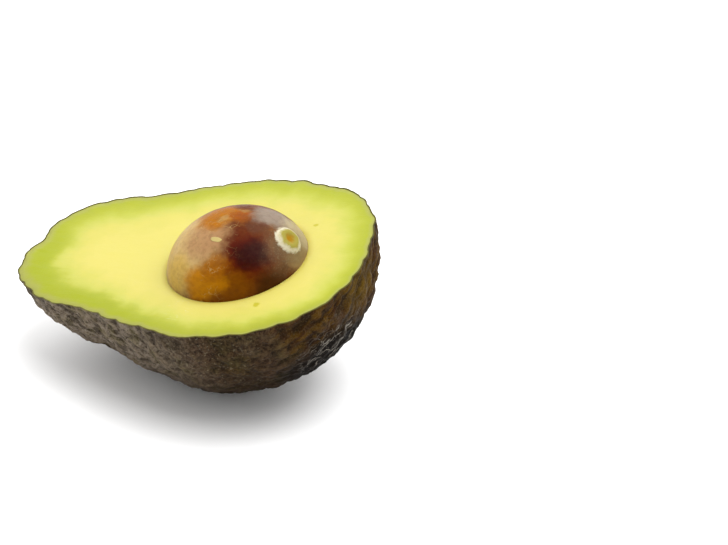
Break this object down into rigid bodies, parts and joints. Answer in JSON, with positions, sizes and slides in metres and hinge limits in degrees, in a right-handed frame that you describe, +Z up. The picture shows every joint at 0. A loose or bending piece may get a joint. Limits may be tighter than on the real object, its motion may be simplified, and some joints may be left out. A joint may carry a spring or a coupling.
{
  "type": "avocado half with stone",
  "caption": "Ripe pebbled-skin avocado cut lengthwise: one half lying cut face up, with dark skin, yellow-green flesh and the brown stone in its hollow.",
  "frame": {"origin": "middle of the small flat spot on the belly that the half rests on", "axes": "+Z up; +X level, along the fruit toward its wide end; +Y across it to the side that lies higher"},
  "size_m": [0.0999, 0.0722, 0.0501],
  "materials": {
    "skin": "dark brown pebbled rind with olive patches, satin",
    "flesh": "moist yellow flesh, lime green toward the skin",
    "stone": "smooth brown seed coat, tan to dark maroon, glossy, with a cream scar"
  },
  "bodies": {
    "root": {"skin": "skin", "flesh": "flesh", "stone": "stone"}
  },
  "joints": []
}
